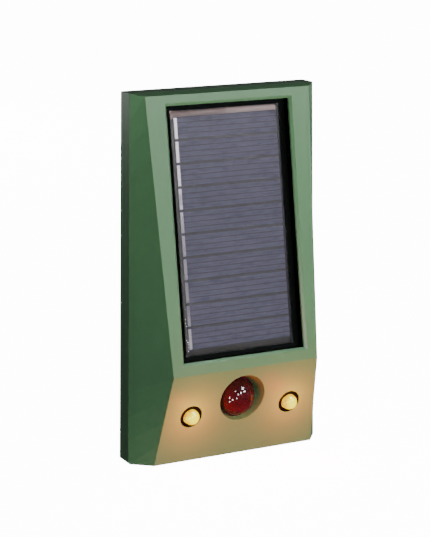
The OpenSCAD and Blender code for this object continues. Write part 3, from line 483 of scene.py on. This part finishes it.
def lens_dome():
    """Dome made of small lenses, with two rings and a flange at its base."""
    centre = Vector((LENS_MIDDLE.x, LENS_LOW.y + DOME_RADIUS, LENS_MIDDLE.z))
    flange_radius = (LENS_HIGH.x - LENS_LOW.x) / 2
    flange_front = centre.y - (LENS_HIGH.y - FLANGE_THICK)
    flange_back = centre.y - LENS_HIGH.y
    base_tilt = math.acos((flange_front + FLANGE_LIFT) / DOME_RADIUS)
    inner_radius = DOME_RADIUS - DOME_WALL
    inner_edge = math.sqrt(inner_radius ** 2 - flange_back ** 2)
    corners = [(DOME_RADIUS, flange_front), (flange_radius, flange_front),
               (flange_radius, flange_back), (inner_edge, flange_back)]
    inner_tilt = math.acos(flange_back / inner_radius)
    hollow_tilts = [inner_tilt * k / HOLLOW_STEPS for k in range(HOLLOW_STEPS - 1, 0, -1)]
    inner = [(inner_radius * math.sin(tilt), inner_radius * math.cos(tilt))
             for tilt in hollow_tilts]
    bm = bmesh.new()
    rings = []

    def ring_at(place):
        """Ring of points, each at the radius and the distance out that place gives for its turn."""
        ring = []
        for k in range(TURNS):
            turn = 2 * math.pi * k / TURNS
            radius, out = place(turn)
            ring.append(bm.verts.new(centre + Vector((radius * math.cos(turn), -out,
                                                      radius * math.sin(turn)))))
        rings.append(ring)

    for i in range(1, SKIN_STEPS + 1):
        def place(turn, tilt=base_tilt * i / SKIN_STEPS):
            """Radius and distance out of the skin at this tilt."""
            reach = DOME_RADIUS - LENS_GROOVE * lens_cell(tilt, turn)
            return reach * math.sin(tilt), reach * math.cos(tilt)
        ring_at(place)
    for radius, out in corners + inner:
        ring_at(lambda turn, r=radius, o=out: (r, o))
    tip = bm.verts.new(centre + Vector((0, -DOME_RADIUS, 0)))
    hollow = bm.verts.new(centre + Vector((0, -inner_radius, 0)))
    for k in range(TURNS):
        n = (k + 1) % TURNS
        bm.faces.new((tip, rings[0][k], rings[0][n]))
        bm.faces.new((hollow, rings[-1][n], rings[-1][k]))
        for a, b in zip(rings, rings[1:]):
            bm.faces.new((a[k], b[k], b[n], a[n]))
    finish_piece("lens_dome", mesh_from("lens_dome", bm), "lens_red", "housing", "pir_lens")


def block(bm, origin, along_x, along_up, thick):
    """Flat block that lies on the cells, given by its lower left corner and its sides."""
    corners = []
    for out in (0, thick):
        for x, up in ((0, 0), (along_x, 0), (along_x, along_up), (0, along_up)):
            corners.append(bm.verts.new(origin + Vector((x, 0, 0)) + UP_PANEL * up
                                        + OUT_OF_PANEL * out))
    for face in ((0, 1, 2, 3), (7, 6, 5, 4), (0, 4, 5, 1),
                 (1, 5, 6, 2), (2, 6, 7, 3), (3, 7, 4, 0)):
        bm.faces.new([corners[i] for i in face])


def cell_lines():
    """Dark lines that part the narrow bands of each cell strip, and its bare edges."""
    bm = bmesh.new()
    start = Vector((RIBBONS_HIGH.x, CELLS_LOW.y, CELLS_LOW.z + CELL_THICK * math.sin(PANEL_TILT)))
    length = (CELLS_HIGH.z - CELLS_LOW.z) / math.cos(PANEL_TILT)
    pitch = (length + STRIP_GAP) / STRIPS
    reach = pitch - STRIP_GAP - LINE_WIDE
    for strip in range(STRIPS):
        for line in range(BANDS + 1):
            up = strip * pitch + line * reach / BANDS
            block(bm, start + UP_PANEL * up, CELLS_HIGH.x - RIBBONS_HIGH.x - LINE_SHORT, LINE_WIDE,
                  LINE_THICK)
    material = surface("cell_lines", (0.055, 0.056, 0.06), (0.4, 0.55), 0.15, 400, 2400, 0.00001)
    finish_piece("cell_lines", mesh_from("cell_lines", bm, False), "cells", "housing",
                 material=material)


dress_nodes()
lens_dome()
cell_lines()


# ---- Stage -------------------------------------------------------------------------------------

# Floor and round wall, in metres, and the strength of their own light
FLOOR_RADIUS = 40
WALL_RADIUS = 7
WALL_HEIGHT = 16
STAGE_SIDES = 96
PAPER_GLOW = 14.0


def stage_piece(name, bm):
    """Object for the floor or the wall, which throws no light on the object."""
    mesh = bpy.data.meshes.new(name)
    bm.to_mesh(mesh)
    bm.free()
    piece = put(name, mesh)
    piece.visible_diffuse = False
    piece.visible_glossy = False
    return piece


def make_floor():
    """Pale floor, lit from within so that it comes out white. Gives its material."""
    bm = bmesh.new()
    bmesh.ops.create_circle(bm, cap_ends=True, segments=STAGE_SIDES, radius=FLOOR_RADIUS)
    floor = stage_piece("floor", bm)
    floor.location.z = CAD_BOX[0].z
    material, _, shader = start_material("floor")
    shader.inputs["Base Color"].default_value = (0.8, 0.8, 0.79, 1)
    shader.inputs["Roughness"].default_value = 0.9
    shader.inputs["Emission Color"].default_value = (1, 1, 1, 1)
    shader.inputs["Emission Strength"].default_value = PAPER_GLOW
    floor.data.materials.append(material)
    return material


def make_backdrop(material):
    """Pale round wall, far away, that only the camera sees."""
    bm = bmesh.new()
    bmesh.ops.create_cone(bm, cap_ends=False, segments=STAGE_SIDES, radius1=WALL_RADIUS,
                          radius2=WALL_RADIUS, depth=WALL_HEIGHT)
    wall = stage_piece("backdrop", bm)
    wall.data.materials.append(material)
    wall.visible_shadow = False


# Each softbox: name, azimuth, elevation, distance, width, height and power. GLINTS show in gloss
KEY = ("key", 5, 6, 0.6, 0.3, 0.2, 3.7)
GLINTS = [("sheen", 36, 26, 1.0, 0.45, 0.2, 14.0), ("glint_front", -10, 14, 0.6, 0.07, 0.2, 2.2),
          ("glint_top", 41, 58, 0.6, 0.12, 0.3, 8.0), ("glint_low", -54, -14, 0.3, 0.04, 0.09, 0.6)]
LEFT_FILL = ("left_fill", -143, 24, 0.2, 0.06, 0.06, 0.055)
RIGHT_FILL = ("right_fill", 100, 5, 1.2, 0.7, 0.7, 1.5)
BACK_FILL = ("back_fill", 185, 2, 1.2, 0.6, 0.6, 9)
# Glow of a lit lens: millimetres ahead of it and below its middle, power and colour
GLOWS = [(5, 0, 0.017, (1.0, 0.33, 0.02)), (11, 4, 0.055, (1.0, 0.05, 0.0)),
         (22, 14, 0.04, (1.0, 0.05, 0.0))]
GLOW_SIZE = 0.003
CAMERA_AZIMUTH = math.radians(-27.2)
CAMERA_ELEVATION = math.radians(13.18)
CAMERA_TARGET = Vector((-7.09, -15.0, -31.35)) * MM
CAMERA_MILLIMETRES = 816.3
FOCAL_LENGTH = 120.67
SENSOR_WIDTH = 36


def outward(azimuth, elevation):
    """Direction from the object, for angles in radians. Azimuth 0 is in front, pi / 2 right."""
    return Vector((math.sin(azimuth) * math.cos(elevation),
                   -math.cos(azimuth) * math.cos(elevation), math.sin(elevation)))


def softbox(name, azimuth, elevation, distance, width, height, power):
    """Flat light round the object, aimed at its middle, with its angles in degrees."""
    data = bpy.data.lights.new(name, "AREA")
    data.shape = "RECTANGLE"
    data.size = width
    data.size_y = height
    data.energy = power
    light = put(name, data)
    out = outward(math.radians(azimuth), math.radians(elevation))
    centre = (CAD_BOX[0] + CAD_BOX[1]) / 2
    light.location = centre + out * distance
    light.rotation_euler = out.to_track_quat("Z", "Y").to_euler()
    light.visible_camera = False
    return light


def light_the_stage():
    """The studio: a matt key, lights seen only in gloss, three fills and a dim sky."""
    softbox(*KEY).visible_glossy = False
    for glint in GLINTS:
        softbox(*glint).visible_diffuse = False
    softbox(*LEFT_FILL)
    softbox(*RIGHT_FILL)
    softbox(*BACK_FILL).visible_glossy = False
    world = bpy.data.worlds.new("world")
    bpy.context.scene.world = world
    world.use_nodes = True
    sky = world.node_tree.nodes["Background"].inputs
    sky["Color"].default_value = (0.9, 0.95, 1, 1)
    sky["Strength"].default_value = 0.09


def glow_of(node, ahead, below, power, colour):
    """Warm light that a lit lens throws on the face round it."""
    name = f"glow_{node}_{ahead}"
    data = bpy.data.lights.new(name, "POINT")
    data.energy = power
    data.color = colour
    data.shadow_soft_size = GLOW_SIZE
    glow = put(name, data)
    low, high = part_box(node)
    glow.location = ((low.x + high.x) / 2, low.y - ahead * MM, (low.z + high.z) / 2 - below * MM)
    glow.visible_camera = False
    glow.visible_glossy = False


def make_camera():
    """Camera in front of the object, to its left and above."""
    back = outward(CAMERA_AZIMUTH, CAMERA_ELEVATION)
    data = bpy.data.cameras.new("camera")
    data.sensor_width = SENSOR_WIDTH
    data.lens = FOCAL_LENGTH
    data.clip_start = 0.01
    data.clip_end = 50
    camera = put("camera", data)
    camera.location = CAMERA_TARGET + back * CAMERA_MILLIMETRES * MM
    camera.rotation_euler = (-back).to_track_quat("-Z", "Y").to_euler()
    bpy.context.scene.camera = camera


make_backdrop(make_floor())
light_the_stage()
for lit in ("light_left", "light_right"):
    for glow in GLOWS:
        glow_of(lit, *glow)
make_camera()
